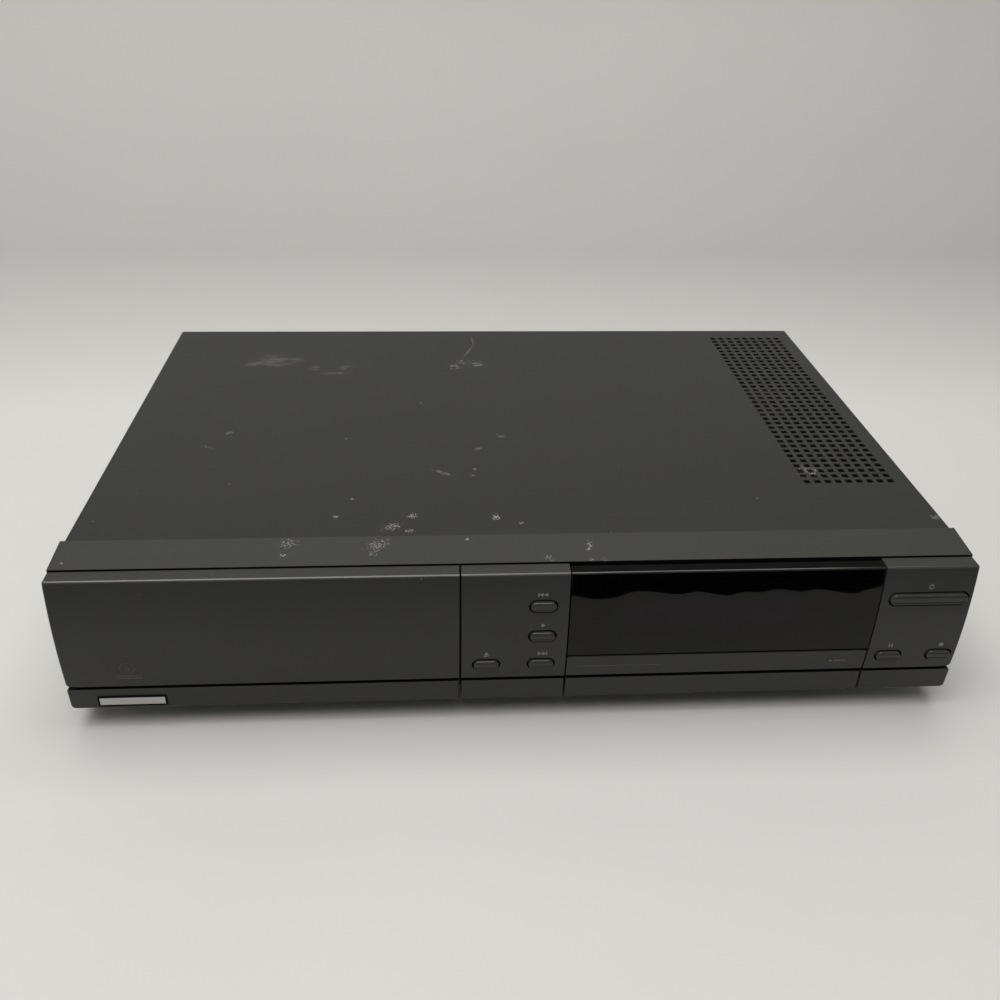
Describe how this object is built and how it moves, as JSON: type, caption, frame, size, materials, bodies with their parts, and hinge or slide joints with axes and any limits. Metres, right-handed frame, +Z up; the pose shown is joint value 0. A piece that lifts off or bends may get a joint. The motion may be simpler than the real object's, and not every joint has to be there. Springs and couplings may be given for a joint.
{
  "type": "disc player",
  "caption": "Full-width front-loading disc player with a motor-driven tray, push buttons, a smoked display window, a hinged socket flap and a vented sheet-metal cover.",
  "frame": {"origin": "on the table, under the middle of the player's bounding box", "axes": "+X to the right seen from the front, +Y to the back, +Z up"},
  "size_m": [0.42, 0.3, 0.086],
  "materials": {
    "cover_paint": "satin",
    "front_grey": "fine satin grain",
    "button_grey": "satin",
    "smoked_window": "polished, smoked",
    "rubber_black": "matte",
    "sheet_steel": "zinc plated",
    "rear_paint": "satin",
    "screw_steel": "plated",
    "screw_black": "blackened",
    "badge_metal": "brushed",
    "display_glass": "dark glass",
    "board_brown": "board",
    "board_green": "board",
    "black_plastic": "moulded",
    "white_plastic": "natural acetal",
    "transformer_iron": "laminated",
    "sink_alloy": "extruded",
    "socket_brass": "plated",
    "lens_glass": "clear"
  },
  "bodies": {
    "case": {"base_pan": "sheet_steel", "feet": "rubber_black", "foot_screws": "screw_steel", "rear_panel": "rear_paint", "top_cover": "cover_paint", "cover_screws": "screw_black", "front_frame": "front_grey", "front_panel": "front_grey", "display_window": "smoked_window", "display_tube": "display_glass", "front_board": "board_brown", "tact_switches": "black_plastic", "socket_board": "board_brown", "headphone_jack": "black_plastic", "front_control_socket": "black_plastic", "volume_pot": "black_plastic", "main_board": "board_green", "main_chips": "black_plastic", "board_screws": "screw_steel", "power_board": "board_brown", "mains_transformer": "transformer_iron", "power_capacitors": "black_plastic", "heat_sink": "sink_alloy", "mains_switch": "black_plastic", "switch_bracket": "sheet_steel", "mains_inlet": "black_plastic", "phono_sockets": "socket_brass", "rear_control_sockets": "black_plastic", "cartridge_cover": "rear_paint", "loader_frame": "black_plastic", "loader_motor": "sink_alloy", "loader_belt": "rubber_black", "clamp_bridge": "sheet_steel"},
    "tray": {"disc_tray": "black_plastic", "tray_front": "front_grey", "tray_screws": "screw_steel", "badge_plate": "badge_metal"},
    "drive": {"drive_base": "sheet_steel", "spindle_motor": "sink_alloy"},
    "lift_slide": {"lift_cam": "white_plastic"},
    "turntable": {"turntable": "black_plastic", "spindle": "screw_steel"},
    "pickup": {"pickup_arm": "black_plastic", "objective_lens": "lens_glass"},
    "clamp": {"clamp_puck": "white_plastic"},
    "motor_pulley": {"motor_pulley": "white_plastic"},
    "belt_gear": {"belt_gear": "white_plastic"},
    "drive_gear": {"drive_gear": "white_plastic"},
    "previous_button": {"previous_button": "button_grey"},
    "play_button": {"play_button": "button_grey"},
    "next_button": {"next_button": "button_grey"},
    "open_button": {"open_button": "button_grey"},
    "pause_button": {"pause_button": "button_grey"},
    "stop_button": {"stop_button": "button_grey"},
    "power_button": {"power_button": "button_grey", "power_rod": "white_plastic"},
    "flap": {"socket_flap": "front_grey"},
    "volume": {"volume_knob": "button_grey"}
  },
  "joints": [
    {"name": "tray_slide", "type": "slide", "parent": "case", "child": "tray", "axis": [0, -1, 0], "range_m": [0, 0.145]},
    {"name": "drive_gear_spin", "type": "hinge", "parent": "case", "child": "drive_gear", "pos_m": [-0.07665, -0.117, 0.0362], "axis": [0, 0, 1], "range_deg": [-924, 0]},
    {"name": "belt_gear_spin", "type": "hinge", "parent": "case", "child": "belt_gear", "pos_m": [-0.09865, -0.117, 0.0306], "axis": [0, 0, 1], "range_deg": [0, 1616]},
    {"name": "motor_pulley_spin", "type": "hinge", "parent": "case", "child": "motor_pulley", "pos_m": [-0.13565, -0.117, 0.0306], "axis": [0, 0, 1], "range_deg": [0, 4601]},
    {"name": "drive_lift", "type": "slide", "parent": "case", "child": "drive", "axis": [0, 0, 1], "range_m": [0, 0.009]},
    {"name": "lift_cam_slide", "type": "slide", "parent": "case", "child": "lift_slide", "axis": [0, -1, 0], "range_m": [0, 0.018]},
    {"name": "turntable_spin", "type": "hinge", "parent": "drive", "child": "turntable", "pos_m": [-0.11965, -0.071, 0.0445], "axis": [0, 0, 1], "continuous": true},
    {"name": "clamp_spin", "type": "hinge", "parent": "case", "child": "clamp", "pos_m": [-0.11965, -0.071, 0.0542], "axis": [0, 0, 1], "continuous": true},
    {"name": "pickup_swing", "type": "hinge", "parent": "drive", "child": "pickup", "pos_m": [-0.16965, -0.071, 0.031], "axis": [0, 0, 1], "range_deg": [0, 44.3]},
    {"name": "previous_press", "type": "slide", "parent": "case", "child": "previous_button", "axis": [0, 1, 0], "range_m": [0, 0.001], "stiffness_N_per_m": 200, "springref_m": -0.001},
    {"name": "play_press", "type": "slide", "parent": "case", "child": "play_button", "axis": [0, 1, 0], "range_m": [0, 0.001], "stiffness_N_per_m": 200, "springref_m": -0.001},
    {"name": "next_press", "type": "slide", "parent": "case", "child": "next_button", "axis": [0, 1, 0], "range_m": [0, 0.001], "stiffness_N_per_m": 200, "springref_m": -0.001},
    {"name": "open_press", "type": "slide", "parent": "case", "child": "open_button", "axis": [0, 1, 0], "range_m": [0, 0.001], "stiffness_N_per_m": 200, "springref_m": -0.001},
    {"name": "pause_press", "type": "slide", "parent": "case", "child": "pause_button", "axis": [0, 1, 0], "range_m": [0, 0.001], "stiffness_N_per_m": 200, "springref_m": -0.001},
    {"name": "stop_press", "type": "slide", "parent": "case", "child": "stop_button", "axis": [0, 1, 0], "range_m": [0, 0.001], "stiffness_N_per_m": 200, "springref_m": -0.001},
    {"name": "power_press", "type": "slide", "parent": "case", "child": "power_button", "axis": [0, 1, 0], "range_m": [0, 0.004], "stiffness_N_per_m": 250, "springref_m": -0.002},
    {"name": "flap_swing", "type": "hinge", "parent": "case", "child": "flap", "pos_m": [0.09335, -0.142, 0.015], "axis": [1, 0, 0], "range_deg": [0, 90]},
    {"name": "volume_turn", "type": "hinge", "parent": "case", "child": "volume", "pos_m": [0.1435, -0.132, 0.02715], "axis": [0, -1, 0], "range_deg": [-140, 140]}
  ],
  "couplings": [
    {"joint": "drive_gear_spin", "follows": "tray_slide", "rad_per_m": -111.11},
    {"joint": "belt_gear_spin", "follows": "tray_slide", "rad_per_m": 194.44},
    {"joint": "motor_pulley_spin", "follows": "tray_slide", "rad_per_m": 553.74},
    {"joint": "lift_cam_slide", "follows": "drive_lift", "ratio": 2},
    {"joint": "turntable_spin", "follows": "clamp_spin", "ratio": 1}
  ]
}
